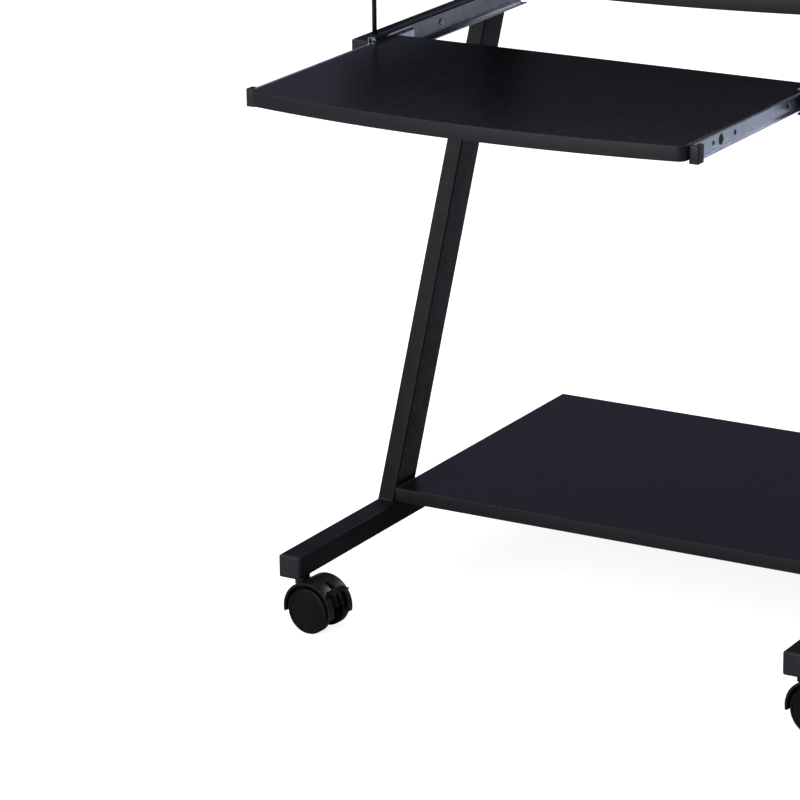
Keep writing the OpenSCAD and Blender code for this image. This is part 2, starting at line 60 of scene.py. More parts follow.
class Shade:
    """One material's node tree, built on the Principled shader from object coordinates in metres."""

    def __init__(self, name, metallic=0.0, ior=1.5, coat=0.0, coat_rough=0.1, specular=0.5):
        self.material = bpy.data.materials.new(name)
        self.material.use_nodes = True
        self.tree = self.material.node_tree
        self.bsdf = self.tree.nodes["Principled BSDF"]
        self.bsdf.inputs["Metallic"].default_value = metallic
        self.bsdf.inputs["IOR"].default_value = ior
        self.bsdf.inputs["Coat Weight"].default_value = coat
        self.bsdf.inputs["Coat Roughness"].default_value = coat_rough
        self.bsdf.inputs["Specular IOR Level"].default_value = specular
        self.coords = self.tree.nodes.new("ShaderNodeTexCoord").outputs["Object"]

    def node(self, kind, **settings):
        """Adds a shader node of a kind, with its settings."""
        made = self.tree.nodes.new("ShaderNode" + kind)
        for key, value in settings.items():
            setattr(made, key, value)
        return made

    def plug(self, value, socket):
        """Links value to the socket, or sets it there when it is a constant."""
        if isinstance(value, bpy.types.NodeSocket):
            self.tree.links.new(value, socket)
        else:
            socket.default_value = value

    def stretched(self, scale):
        """The object coordinates, scaled along each axis."""
        mapping = self.node("Mapping")
        self.plug(self.coords, mapping.inputs["Vector"])
        mapping.inputs["Scale"].default_value = scale
        return mapping.outputs["Vector"]

    def noise(self, scale, detail, rough, stretch=None, distortion=0.0):
        """Fractal noise between 0 and 1."""
        made = self.node("TexNoise")
        self.plug(self.stretched(stretch) if stretch else self.coords, made.inputs["Vector"])
        made.inputs["Scale"].default_value = scale
        made.inputs["Detail"].default_value = detail
        made.inputs["Roughness"].default_value = rough
        made.inputs["Distortion"].default_value = distortion
        return made.outputs["Fac"]

    def cells(self, scale):
        """The distance to the nearest point of a Voronoi pattern."""
        made = self.node("TexVoronoi", feature="F1")
        self.plug(self.coords, made.inputs["Vector"])
        made.inputs["Scale"].default_value = scale
        return made.outputs["Distance"]

    def span(self, value, low, high, to_low=0.0, to_high=1.0):
        """Maps low to high smoothly onto to_low to to_high, and holds it beyond them."""
        made = self.node("MapRange", interpolation_type="SMOOTHSTEP")
        self.plug(value, made.inputs["Value"])
        made.inputs["From Min"].default_value = low
        made.inputs["From Max"].default_value = high
        made.inputs["To Min"].default_value = to_low
        made.inputs["To Max"].default_value = to_high
        return made.outputs["Result"]

    def math(self, operation, a, b):
        """One step of arithmetic on two values."""
        made = self.node("Math", operation=operation)
        self.plug(a, made.inputs[0])
        self.plug(b, made.inputs[1])
        return made.outputs[0]

    def mix(self, factor, a, b):
        """Color a at factor 0, and color b at factor 1."""
        made = self.node("Mix", data_type="RGBA")
        self.plug(factor, made.inputs["Factor"])
        self.plug((*a, 1.0) if isinstance(a, tuple) else a, made.inputs["A"])
        self.plug((*b, 1.0) if isinstance(b, tuple) else b, made.inputs["B"])
        return made.outputs["Result"]

    def edges(self, radius, low, high):
        """1 on outer and inner edges within radius, and 0 on flat ground."""
        rounded = self.node("Bevel", samples=4)
        rounded.inputs["Radius"].default_value = radius
        flat = self.node("NewGeometry")
        dot = self.node("VectorMath", operation="DOT_PRODUCT")
        self.plug(rounded.outputs["Normal"], dot.inputs[0])
        self.plug(flat.outputs["Normal"], dot.inputs[1])
        return self.span(self.math("SUBTRACT", 1.0, dot.outputs["Value"]), low, high)

    def bump(self, height, distance, strength, under=None):
        """A normal raised by height, on top of the normal under it."""
        made = self.node("Bump")
        made.inputs["Strength"].default_value = strength
        made.inputs["Distance"].default_value = distance
        self.plug(height, made.inputs["Height"])
        if under:
            self.plug(under, made.inputs["Normal"])
        return made.outputs["Normal"]

    def done(self, color, rough, normal=None):
        """Plugs in color, roughness and normal, and returns the material."""
        self.plug(color, self.bsdf.inputs["Base Color"])
        self.plug(rough, self.bsdf.inputs["Roughness"])
        if normal:
            self.plug(normal, self.bsdf.inputs["Normal"])
        return self.material


def powder_coat():
    """Satin black powder coat: orange peel, a little tone variation, and edges lightened partly as rubbed paint
    and partly as a painted highlight.
    """
    s = Shade("powder_coat", specular=0.18)
    tone = s.span(s.noise(26, 4, 0.55), 0.3, 0.7)
    color = s.mix(tone, (0.0070, 0.0070, 0.0086), (0.0108, 0.0108, 0.0128))
    # Edges lightened towards grey: partly rubbed paint, partly a painted highlight.
    rub_and_glint = s.math("MULTIPLY", s.edges(0.0011, 0.02, 0.22), s.span(s.noise(160, 5, 0.7), 0.35, 0.75))
    color = s.mix(s.math("MULTIPLY", rub_and_glint, 0.5), color, (0.030, 0.030, 0.033))
    peel = s.noise(950, 2, 0.4)
    rough = s.math("ADD", s.span(s.noise(70, 4, 0.6), 0.3, 0.7, 0.34, 0.46),
                   s.span(peel, 0.3, 0.7, -0.03, 0.03))
    normal = s.bump(peel, 0.00007, 0.55, s.bump(s.noise(3200, 2, 0.5), 0.00002, 0.4))
    return s.done(color, rough, normal)


def weld_metal():
    """Powder coat over a weld bead: a touch rougher, with a brownish tone that varies at random."""
    s = Shade("weld_bead", specular=0.5)
    color = s.mix(s.span(s.noise(420, 4, 0.6), 0.35, 0.7), (0.007, 0.0065, 0.0065), (0.028, 0.027, 0.026))
    rough = s.span(s.noise(900, 3, 0.6), 0.3, 0.7, 0.30, 0.55)
    return s.done(color, rough, s.bump(s.noise(1500, 3, 0.6), 0.00012, 0.8))


def gloss_paint():
    """Gloss black paint on the hanger rods."""
    s = Shade("rod_gloss_paint", coat=0.3, coat_rough=0.12)
    color = s.mix(s.span(s.noise(90, 4, 0.6), 0.35, 0.7), (0.005, 0.005, 0.006), (0.010, 0.010, 0.012))
    rough = s.span(s.noise(260, 3, 0.5), 0.3, 0.7, 0.22, 0.34)
    return s.done(color, rough, s.bump(s.noise(600, 2, 0.5), 0.00004, 0.5))


def laminate():
    """Black melamine: a fine leathery pore pattern, faint cloudy tone and a few wiping marks."""
    s = Shade("black_laminate", specular=0.40)
    cloud = s.span(s.noise(7, 2, 0.5), 0.32, 0.68)
    color = s.mix(cloud, (0.0008, 0.0008, 0.0021), (0.0009, 0.0009, 0.0024))
    pores = s.span(s.cells(1250), 0.05, 0.55)
    fleck = s.span(s.noise(2100, 2, 0.6), 0.62, 0.75)
    color = s.mix(s.math("MULTIPLY", fleck, 0.25), color, (0.003, 0.003, 0.005))
    wiped = s.noise(9, 3, 0.5, stretch=(1.0, 0.5, 1.0))
    rough = s.math("ADD", s.span(wiped, 0.3, 0.7, 0.255, 0.285), s.span(pores, 0.0, 1.0, 0.02, 0.0))
    normal = s.bump(pores, 0.00002, 0.1, s.bump(s.noise(90, 2, 0.5), 0.00003, 0.15))
    return s.done(color, rough, normal)


def edge_band():
    """Charcoal edge band: drawn streaks along its run, and corners lightened partly as rubbed wear and partly as a
    painted highlight.
    """
    s = Shade("edge_band", specular=0.4)
    streak = s.noise(240, 4, 0.6, stretch=(0.12, 0.12, 3.0))
    color = s.mix(s.span(streak, 0.3, 0.7), (0.0060, 0.0060, 0.0078), (0.0092, 0.0092, 0.0115))
    # Corners lightened towards grey: partly rubbed wear, partly a painted highlight.
    rub_and_glint = s.math("MULTIPLY", s.edges(0.0009, 0.02, 0.25), s.span(s.noise(210, 4, 0.7), 0.3, 0.7))
    color = s.mix(s.math("MULTIPLY", rub_and_glint, 0.45), color, (0.045, 0.045, 0.050))
    rough = s.span(s.noise(800, 3, 0.6), 0.3, 0.7, 0.38, 0.52)
    return s.done(color, rough, s.bump(streak, 0.00005, 0.4, s.bump(s.noise(2400, 2, 0.5), 0.00002, 0.5)))


def moulded(name, tones, rough_span, grain, depth, wear_and_glint, specular=0.5):
    """Moulded black plastic: spark texture of a grain and depth, flow marks, and edges lightened partly as rubbing
    and partly as a painted highlight, by the given amount.
    """
    s = Shade(name, ior=1.49, specular=specular)
    flow = s.span(s.noise(60, 4, 0.6, stretch=(1.0, 1.0, 0.3), distortion=1.2), 0.3, 0.7)
    color = s.mix(flow, *tones)
    # Edges lightened towards grey: partly rubbed plastic, partly a painted highlight.
    rub_and_glint = s.math("MULTIPLY", s.edges(0.0007, 0.02, 0.3), s.span(s.noise(260, 5, 0.7), 0.35, 0.75))
    color = s.mix(s.math("MULTIPLY", rub_and_glint, wear_and_glint), color, (0.070, 0.070, 0.073))
    rough = s.math("ADD", s.span(s.noise(130, 4, 0.6), 0.3, 0.7, *rough_span),
                   s.span(flow, 0.0, 1.0, -0.02, 0.03))
    return s.done(color, rough, s.bump(s.noise(grain, 3, 0.6), depth, 0.6))


def zinc_plate(name, low, high):
    """Bright zinc on rolled steel: long rolling lines, faint spangle, a cool passivated tint and a painted
    highlight on its edges.
    """
    s = Shade(name, metallic=1.0)
    lines = s.noise(300, 5, 0.65, stretch=(3.0, 0.03, 3.0))
    spangle = s.span(s.noise(85, 3, 0.5, distortion=0.6), 0.3, 0.7)
    color = s.mix(spangle, low, high)
    color = s.mix(s.span(lines, 0.45, 0.8, 0.0, 0.35), color, (0.78, 0.80, 0.83))
    smut = s.math("MULTIPLY", s.span(s.noise(48, 5, 0.65), 0.5, 0.8), 0.35)
    color = s.mix(smut, color, (0.48, 0.51, 0.56))
    # Painted highlight: the edges are lightened towards near white, as glints.
    painted_edge_glint = s.edges(0.0006, 0.03, 0.35)
    color = s.mix(s.math("MULTIPLY", painted_edge_glint, 0.6), color, (0.90, 0.92, 0.94))
    rough = s.math("ADD", s.span(lines, 0.3, 0.7, 0.26, 0.38), s.math("MULTIPLY", smut, 0.25))
    return s.done(color, rough, s.bump(lines, 0.00003, 0.5, s.bump(s.noise(900, 3, 0.5), 0.00002, 0.4)))


def plated_steel(name, dark, light, rough_low, rough_high):
    """Plated steel of screws, nuts, stems, axles and balls, with a painted highlight on its edges."""
    s = Shade(name, metallic=1.0)
    color = s.mix(s.span(s.noise(380, 4, 0.6), 0.3, 0.7), dark, light)
    # Painted highlight: the edges are lightened towards pale steel.
    color = s.mix(s.math("MULTIPLY", s.edges(0.0004, 0.03, 0.35), 0.5), color, (0.82, 0.82, 0.80))
    rough = s.span(s.noise(900, 3, 0.6), 0.3, 0.7, rough_low, rough_high)
    return s.done(color, rough, s.bump(s.noise(1800, 3, 0.6), 0.00002, 0.5))


def black_oxide():
    """Blackened steel of the tray screws."""
    s = Shade("black_oxide", metallic=0.7)
    color = s.mix(s.span(s.noise(700, 4, 0.6), 0.3, 0.7), (0.012, 0.012, 0.013), (0.045, 0.044, 0.043))
    rough = s.span(s.noise(1500, 3, 0.6), 0.3, 0.7, 0.35, 0.5)
    return s.done(color, rough, s.bump(s.noise(2500, 2, 0.5), 0.00002, 0.5))


def studio_floor():
    """Plain pale studio floor with a barely visible grain."""
    s = Shade("studio_floor", specular=0.2)
    pale = s.mix(s.span(s.noise(3, 4, 0.5), 0.3, 0.7), (0.88, 0.88, 0.88), (0.90, 0.90, 0.90))
    seen = s.node("LightPath").outputs["Is Camera Ray"]
    color = s.mix(seen, (0.55, 0.56, 0.60), pale)
    s.bsdf.inputs["Emission Color"].default_value = (1.0, 1.0, 1.0, 1.0)
    s.plug(s.math("MULTIPLY", seen, 0.85), s.bsdf.inputs["Emission Strength"])
    return s.done(color, s.span(s.noise(40, 3, 0.5), 0.3, 0.7, 0.75, 0.85))


PAINT = powder_coat()
WELD = weld_metal()
ROD = gloss_paint()
LAMINATE = laminate()
BAND = edge_band()
PLUG = moulded("end_plug_plastic", ((0.013, 0.0135, 0.0145), (0.021, 0.022, 0.023)), (0.42, 0.56),
               grain=2300, depth=0.00005, wear_and_glint=0.4, specular=0.35)
BUMPER = moulded("bumper_plastic", ((0.006, 0.006, 0.007), (0.014, 0.014, 0.015)), (0.38, 0.52),
                 grain=2600, depth=0.00004, wear_and_glint=0.5)
HOOD = moulded("hood_nylon", ((0.0065, 0.0065, 0.0078), (0.0100, 0.0100, 0.0115)), (0.34, 0.44),
               grain=2200, depth=0.00003, wear_and_glint=0.25, specular=0.32)
# On the wheels the edge lightening is at full strength: their light rim arcs are mostly a painted highlight.
WHEEL = moulded("wheel_nylon", ((0.0035, 0.0035, 0.0045), (0.0065, 0.0065, 0.0080)), (0.26, 0.36),
                grain=1900, depth=0.00004, wear_and_glint=1.0, specular=0.18)
PEDAL = moulded("pedal_nylon", ((0.0050, 0.0050, 0.0060), (0.0105, 0.0105, 0.0115)), (0.28, 0.40),
                grain=2400, depth=0.00003, wear_and_glint=0.6, specular=0.35)
ZINC = zinc_plate("zinc_plate", (0.66, 0.73, 0.84), (0.74, 0.80, 0.89))
# A darker copy of the same zinc: painted shade for the outer members, which sit under the tray.
SHADED_ZINC = zinc_plate("shaded_zinc_plate", (0.17, 0.20, 0.235), (0.22, 0.25, 0.285))
FASTENER = plated_steel("zinc_fastener", (0.40, 0.41, 0.44), (0.58, 0.59, 0.60), 0.25, 0.40)
CASTER_STEEL = plated_steel("caster_steel", (0.34, 0.34, 0.36), (0.52, 0.52, 0.53), 0.24, 0.38)
BALL_STEEL = plated_steel("ball_steel", (0.42, 0.43, 0.45), (0.62, 0.62, 0.63), 0.12, 0.25)
OXIDE = black_oxide()
MATERIAL_OF_SLOT = {
    "frame_paint": PAINT, "rod_paint": ROD, "plug_plastic": PLUG, "board_laminate": LAMINATE,
    "slide_zinc": ZINC, "bumper_plastic": BUMPER, "ball_steel": BALL_STEEL, "black_screw": OXIDE,
    "zinc_fastener": FASTENER, "caster_steel": CASTER_STEEL, "caster_hood_plastic": HOOD,
    "caster_wheel_nylon": WHEEL, "brake_plastic": PEDAL,
}
SLOT_OF_NODE = {row["node"]: row["material_slot"] for row in frame["record"]["subparts"]}
BODY_OF_NODE = {n: body for body, nodes in frame["record"]["behaviour"]["bodies"].items() for n in nodes}


# ---------------------------------------------------------------- mesh helpers

SHARP = math.radians(34)
FLAT = math.radians(0.4)
WELD_GAP = 2e-6
SLIVER = 1e-7


def settle(bm):
    """Smooth faces, with edges over the SHARP angle kept crisp."""
    bmesh.ops.recalc_face_normals(bm, faces=bm.faces)
    for face in bm.faces:
        face.smooth = True
    for edge in bm.edges:
        edge.smooth = len(edge.link_faces) == 2 and edge.calc_face_angle(0) < SHARP


def piece(name, bm, material, body, stands_for=()):
    """Turns bm into an object that rides on a body, takes a material and hides the CAD nodes it stands for."""
    settle(bm)
    mesh = bpy.data.meshes.new(name)
    bm.to_mesh(mesh)
    bm.free()
    mesh.materials.append(material)
    made = bpy.data.objects.new(name, mesh)
    bpy.context.scene.collection.objects.link(made)
    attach(made, body)
    if stands_for:
        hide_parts(*stands_for)
    return made


def cad_copy(node):
    """The node's mesh, welded, with its flat faces joined."""
    bm = bmesh.new()
    bm.from_mesh(frame["nodes"][node].data)
    bmesh.ops.remove_doubles(bm, verts=bm.verts, dist=WELD_GAP)
    bmesh.ops.dissolve_limit(bm, angle_limit=FLAT, verts=bm.verts, edges=bm.edges)
    return bm


def round_edges(bm, width, segments, least=40.0):
    """Rounds every edge that turns by more than least degrees."""
    sharp = [e for e in bm.edges if len(e.link_faces) == 2 and e.calc_face_angle(0) > math.radians(least)]
    bmesh.ops.bevel(bm, geom=sharp, offset=width, offset_type="OFFSET", segments=segments,
                    profile=0.5, affect="EDGES", clamp_overlap=True)


def refined(node, width, segments):
    """A detailed piece in the CAD node's shape, with rounded edges."""
    bm = cad_copy(node)
    round_edges(bm, width, segments)
    slot = SLOT_OF_NODE[node]
    return piece(node + "_piece", bm, MATERIAL_OF_SLOT[slot], BODY_OF_NODE[node], [node])


def islands(node):
    """The boxes of a node's separate solids, as (low, high) pairs."""
    bm = bmesh.new()
    bm.from_mesh(frame["nodes"][node].data)
    bmesh.ops.remove_doubles(bm, verts=bm.verts, dist=WELD_GAP)
    left, boxes = set(bm.verts), []
    while left:
        stack = [left.pop()]
        low = high = stack[0].co.copy()
        while stack:
            vert = stack.pop()
            low, high = Vector(map(min, low, vert.co)), Vector(map(max, high, vert.co))
            for edge in vert.link_edges:
                other = edge.other_vert(vert)
                if other in left:
                    left.remove(other)
                    stack.append(other)
        boxes.append((low, high))
    bm.free()
    return sorted(boxes, key=lambda b: tuple(round(c, 4) for c in b[0]))


def add_loft(bm, rings, capped=True):
    """Joins closed rings of points into a skin, with flat caps on both ends."""
    rows = [[bm.verts.new(p) for p in ring] for ring in rings]
    count = len(rows[0])
    for a, b in zip(rows, rows[1:]):
        for i in range(count):
            j = (i + 1) % count
            bm.faces.new((a[i], a[j], b[j], b[i]))
    if capped:
        bm.faces.new(rows[0][::-1])
        bm.faces.new(rows[-1])


def add_lathe(bm, profile, centre, axis, segments):
    """Turns a profile of (radius, distance along axis) about the axis through centre."""
    axis = Vector(axis).normalized()
    side = axis.orthogonal().normalized()
    other = axis.cross(side)
    rings = []
    for radius, along in profile:
        rings.append([
            Vector(centre) + axis * along + (side * math.cos(t) + other * math.sin(t)) * radius
            for t in (2 * math.pi * i / segments for i in range(segments))
        ])
    add_loft(bm, rings)


def arc(cx, cy, radius, start, end, steps):
    """Points on an arc, angles in degrees."""
    return [
        (cx + radius * math.cos(math.radians(start + (end - start) * i / steps)),
         cy + radius * math.sin(math.radians(start + (end - start) * i / steps)))
        for i in range(steps + 1)
    ]


def cut(target, cutters):
    """Takes the cutters' solids out of target's mesh, and removes the cutters."""
    for solid in cutters:
        boolean = target.modifiers.new("cut", "BOOLEAN")
        boolean.operation = "DIFFERENCE"
        boolean.solver = "EXACT"
        boolean.object = solid
    bpy.context.view_layer.update()
    graph = bpy.context.evaluated_depsgraph_get()
    mesh = bpy.data.meshes.new_from_object(target.evaluated_get(graph))
    target.modifiers.clear()
    bm = bmesh.new()
    bm.from_mesh(mesh)
    bmesh.ops.dissolve_degenerate(bm, dist=SLIVER, edges=bm.edges)
    settle(bm)
    bm.to_mesh(target.data)
    bm.free()
    for solid in cutters:
        bpy.data.objects.remove(solid)


def cutter(bm):
    """Turns bm into a loose solid for cut to use."""
    bmesh.ops.recalc_face_normals(bm, faces=bm.faces)
    mesh = bpy.data.meshes.new("cutter")
    bm.to_mesh(mesh)
    bm.free()
    made = bpy.data.objects.new("cutter", mesh)
    bpy.context.scene.collection.objects.link(made)
    return made


# ---------------------------------------------------------------- boards

BAND_T = 1.0 * MM
BAND_ROUND = 0.7 * MM
BAND_GAP = 0.04 * MM
BAND_NICK = 0.1 * MM
CORE_EASE = 0.25 * MM
SHARPEST_TURN = 0.3


def top_outline(node):
    """The board's outline, from the boundary of its top face, in order."""
    bm = cad_copy(node)
    high = max(v.co.z for v in bm.verts)
    top = {f for f in bm.faces if f.normal.z > 0.99 and f.calc_center_median().z > high - 1e-5}
    follows = {}
    for face in top:
        for loop in face.loops:
            if not any(other in top for other in loop.edge.link_faces if other != face):
                follows[loop.vert] = loop.link_loop_next.vert
    start = next(iter(follows))
    walk, here = [start.co.copy()], follows[start]
    while here != start:
        walk.append(here.co.copy())
        here = follows[here]
    bm.free()
    return walk


def inset(outline, distance, z):
    """The outline moved inwards by a distance, at height z. It runs anticlockwise from above."""
    moved = []
    for i, point in enumerate(outline):
        before = (point - outline[i - 1]).to_2d().normalized()
        after = (outline[(i + 1) % len(outline)] - point).to_2d().normalized()
        inward = (Vector((-before.y, before.x)) + Vector((-after.y, after.x))).normalized()
        stretch = 1 / max(SHARPEST_TURN, inward.dot(Vector((-before.y, before.x))))
        step = inward * distance * stretch
        moved.append(Vector((point.x + step.x, point.y + step.y, z)))
    return moved


def board(node):
    """A laminated core with fine eased edges, and the band round it as a piece of its own."""
    low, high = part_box(node)
    outline = top_outline(node)
    body = BODY_OF_NODE[node]
    core = bmesh.new()
    seam = BAND_T + BAND_GAP
    add_loft(core, [
        inset(outline, seam + CORE_EASE, low.z), inset(outline, seam, low.z + CORE_EASE),
        inset(outline, seam, high.z - CORE_EASE), inset(outline, seam + CORE_EASE, high.z),
    ])
    piece(node + "_core", core, LAMINATE, body, [node])
    band = bmesh.new()
    section = [(BAND_T, low.z + BAND_NICK), (BAND_T - BAND_NICK, low.z)]
    section += arc(BAND_ROUND, low.z + BAND_ROUND, BAND_ROUND, 270, 180, 5)
    section += arc(BAND_ROUND, high.z - BAND_ROUND, BAND_ROUND, 180, 90, 5)
    section += [(BAND_T - BAND_NICK, high.z), (BAND_T, high.z - BAND_NICK)]
    rings = [inset(outline, d, z) for d, z in section]
    add_loft(band, rings + [rings[0]], capped=False)
    bmesh.ops.remove_doubles(band, verts=band.verts, dist=SLIVER)
    piece(node + "_edge_band", band, BAND, body)


def make_boards():
    """The three boards, each with its edge band."""
    for node in ("desktop", "bottom_shelf", "keyboard_tray"):
        board(node)


# ---------------------------------------------------------------- frame

LEG_LEAN = math.radians(23.3)
LEG_CUT = 40 * MM / math.cos(LEG_LEAN)  # the leg tube's depth along Y, where it is cut level
BEAD_R = 1.5 * MM
BEAD_PITCH = 1.7 * MM
BEAD_SIDES = 10
RINGS_PER_RIPPLE = 6
TIP_RINGS, TIP_SIZE = 5, 0.18


def add_bead(bm, start, end):
    """A weld bead from start to end: overlapping ripples of a round section, tapered at both tips."""
    start, end = Vector(start), Vector(end)
    run = end - start
    along = run.normalized()
    side = along.orthogonal().normalized()
    other = along.cross(side)
    steps = max(RINGS_PER_RIPPLE, int(run.length / BEAD_PITCH) * RINGS_PER_RIPPLE)
    rings = []
    for i in range(steps + 1):
        t = i / steps
        phase = (t * run.length / BEAD_PITCH) % 1.0
        grown = min(1.0, min(t, 1 - t) * steps / TIP_RINGS + TIP_SIZE)
        ripple = 0.82 + 0.22 * math.sin(math.pi * phase)
        size = BEAD_R * math.sin(math.pi * grown / 2) * ripple
        centre = start + run * t
        rings.append([
            centre + (side * math.cos(a) + other * math.sin(a)) * size
            for a in (2 * math.pi * k / BEAD_SIDES for k in range(BEAD_SIDES))
        ])
    add_loft(bm, rings)


def add_upright_bead(bm, x, y, low, high, end):
    """A bead up a corner at x and y, which stops short of the box by end."""
    add_bead(bm, (x, y, low.z + end), (x, y, high.z - end))


def add_level_bead(bm, x, low, high, end):
    """A bead along Y under the box at x, which stops short of it by end."""
    add_bead(bm, (x, low.y + end, low.z), (x, high.y - end, low.z))


def leg_face(z, front):
    """Where the leg's front or rear face is at height z, along Y."""
    low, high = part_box("leg_left")
    lean = (high.y - low.y - LEG_CUT) / (high.z - low.z)
    return low.y + lean * (z - low.z) + (0 if front else LEG_CUT)


def make_welds():
    """The beads at the ends of the legs, the crossbars and the rail brackets, as one piece."""
    bm = bmesh.new()
    nudge, lift = 0.8 * MM, 0.3 * MM
    for leg in ("leg_left", "leg_right"):
        low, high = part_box(leg)
        outer, inner = low.x + nudge, high.x - nudge
        if leg == "leg_right":
            outer, inner = inner, outer
        for z, seam in ((low.z, low.z + lift), (high.z, high.z - lift)):
            for y in (leg_face(z, True), leg_face(z, False)):
                add_bead(bm, (outer, y, seam), (inner, y, seam))
    bar_end, bracket_end = 3 * MM, 2 * MM
    for name in ("shelf_crossbar_front", "shelf_crossbar_rear"):
        low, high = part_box(name)
        for x in (low.x, high.x):
            add_upright_bead(bm, x, low.y, low, high, bar_end)
            add_upright_bead(bm, x, high.y, low, high, bar_end)
    low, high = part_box("top_crossbar")
    for x in (low.x, high.x):
        add_upright_bead(bm, x, low.y, low, high, bar_end)
        add_level_bead(bm, x, low, high, bar_end)
    for low, high in islands("rail_brackets"):
        for x in (low.x, high.x):
            add_level_bead(bm, x, low, high, bracket_end)
            add_upright_bead(bm, x, low.y, low, high, bracket_end)
    piece("weld_beads", bm, WELD, "frame")


def rounded_ring(x, y, z, half_x, half_z, radius):
    """A rectangle with round corners, square to the Y axis."""
    ring = []
    for turn, (sx, sz) in enumerate(((1, 1), (-1, 1), (-1, -1), (1, -1))):
        cx, cz = x + sx * (half_x - radius), z + sz * (half_z - radius)
        corner = arc(cx, cz, radius, 90 * turn, 90 * turn + 90, CORNER_STEPS)
        ring += [Vector((a, y, b)) for a, b in corner]
    return ring


PLUG_HEAD = 4 * MM
PLUG_SWELL = 2.0 * MM
PLUG_FIT = 0.15 * MM
PLUG_WALL = 1.5 * MM
PILLOW_STEPS = 6
CORNER_STEPS = 6


def plug_rings(low, high, inward, wall):
    """One end plug's rings: the crown, the pillowed edge, the head's side and the hollow stub."""
    centre = (low + high) / 2
    half_x, half_z = (high.x - low.x) / 2, (high.z - low.z) / 2
    face = low.y if inward > 0 else high.y
    rings = [rounded_ring(centre.x, face, centre.z, half_x * share, half_z * share, 1.2 * MM * share)
             for share in (0.2, 0.55)]
    for step in range(PILLOW_STEPS + 1):
        angle = math.radians(90 * step / PILLOW_STEPS)
        short = PLUG_SWELL * (1 - math.sin(angle))
        depth = PLUG_SWELL * (1 - math.cos(angle)) + 0.02 * MM
        rings.append(rounded_ring(centre.x, face + inward * depth, centre.z, half_x - short, half_z - short,
                                  1.6 * MM + (PLUG_SWELL - short) * 0.2))
    rings.append(rounded_ring(centre.x, face + inward * PLUG_HEAD, centre.z, half_x, half_z, 2 * MM))
    stub_x, stub_z = half_x - wall - PLUG_FIT, half_z - wall - PLUG_FIT
    end, floor = high.y - low.y, PLUG_HEAD + 0.5 * MM
    for depth, thin in ((PLUG_HEAD, 0), (end, 0), (end, PLUG_WALL), (floor, PLUG_WALL)):
        rings.append(rounded_ring(centre.x, face + inward * depth, centre.z,
                                  stub_x - thin, stub_z - thin, 0.3 * MM))
    return rings


def make_plugs(node, wall):
    """End plugs: a pillowed head with round edges and a hollow stub inside the tube."""
    boxes = islands(node)
    middle = sum(((low + high) / 2 for low, high in boxes), Vector()) / len(boxes)
    bm = bmesh.new()
    for low, high in boxes:
        inward = 1 if (low.y + high.y) / 2 < middle.y else -1
        add_loft(bm, plug_rings(low, high, inward, wall))
    piece(node + "_piece", bm, PLUG, BODY_OF_NODE[node], [node])


def make_frame():
    """Tubes and brackets in the CAD shape with eased edges, the end plugs and the welds."""
    for node in ("foot_left", "foot_right", "leg_left", "leg_right", "top_bar_left", "top_bar_right",
                 "top_crossbar", "shelf_crossbar_front", "shelf_crossbar_rear", "rail_left", "rail_right",
                 "rail_brackets"):
        refined(node, 0.15 * MM, 2)
    for node, wall in (("foot_end_plugs", 1.5), ("top_bar_plugs", 1.5), ("rail_plugs", 1.2)):
        make_plugs(node, wall * MM)
    make_welds()


ROD_R = 2.5 * MM
ROD_PLATE = 2.5 * MM
THREAD_PITCH, THREAD_DEPTH = 0.8 * MM, 0.45 * MM
THREAD_SIDES, RINGS_PER_TURN = 28, 8


def add_thread(bm, x, y, z0, z1):
    """A rod's threaded stretch: the radius follows a helix."""
    rings = []
    for i in range(int((z1 - z0) / THREAD_PITCH * RINGS_PER_TURN) + 1):
        z = z0 + THREAD_PITCH * i / RINGS_PER_TURN
        ring = []
        for k in range(THREAD_SIDES):
            turn = (i / RINGS_PER_TURN - k / THREAD_SIDES) % 1.0
            r = ROD_R - THREAD_DEPTH * abs(2 * turn - 1)
            angle = 2 * math.pi * k / THREAD_SIDES
            ring.append(Vector((x + r * math.cos(angle), y + r * math.sin(angle), z)))
        rings.append(ring)
    add_loft(bm, rings)


def make_rods():
    """Hanger rods with a rolled thread at the foot and a round, eased top plate."""
    for side in ("left", "right"):
        node = "hanger_rod_" + side
        low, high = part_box(node)
        x, y, plate_r = (low.x + high.x) / 2, (low.y + high.y) / 2, (high.x - low.x) / 2
        thread_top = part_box("rail_" + side)[0].z + 1 * MM
        under_plate = high.z - ROD_PLATE
        bm = bmesh.new()
        add_thread(bm, x, y, low.z, thread_top)
        add_lathe(bm, [
            (ROD_R * 0.9, thread_top), (ROD_R, thread_top + 0.5 * MM), (ROD_R, under_plate - 1.6 * MM),
            (ROD_R * 1.25, under_plate - 0.5 * MM), (ROD_R * 1.7, under_plate),
            (plate_r - 0.5 * MM, under_plate), (plate_r, under_plate + 0.5 * MM),
            (plate_r, high.z - 0.3 * MM), (plate_r - 0.3 * MM, high.z),
        ], (x, y, 0), (0, 0, 1), 56)
        piece(node + "_piece", bm, ROD, "frame", [node])
    refined("hanger_nuts", 0.35 * MM, 2)


# ---------------------------------------------------------------- screws

RECESS_DEPTH = 0.9 * MM
ARM_WIDTH = 0.26
RECESS_TAPER = 0.55


def cross_cutters(centre, axis, size):
    """A cross recess, as two tapered arms to cut into a screw head one after the other."""
    axis = Vector(axis).normalized()
    side = axis.orthogonal().normalized()
    other = axis.cross(side)
    arms = []
    for a, b in ((side, other), (other, side)):
        made = bmesh.new()
        rings = []
        for along, share in ((-0.3 * RECESS_DEPTH, 1.0), (RECESS_DEPTH, RECESS_TAPER)):
            half_a, half_b = size * share, size * ARM_WIDTH
            rings.append([
                Vector(centre) + axis * along + a * sa * half_a + b * sb * half_b
                for sa, sb in ((-1, -1), (1, -1), (1, 1), (-1, 1))
            ])
        add_loft(made, rings)
        arms.append(cutter(made))
    return arms


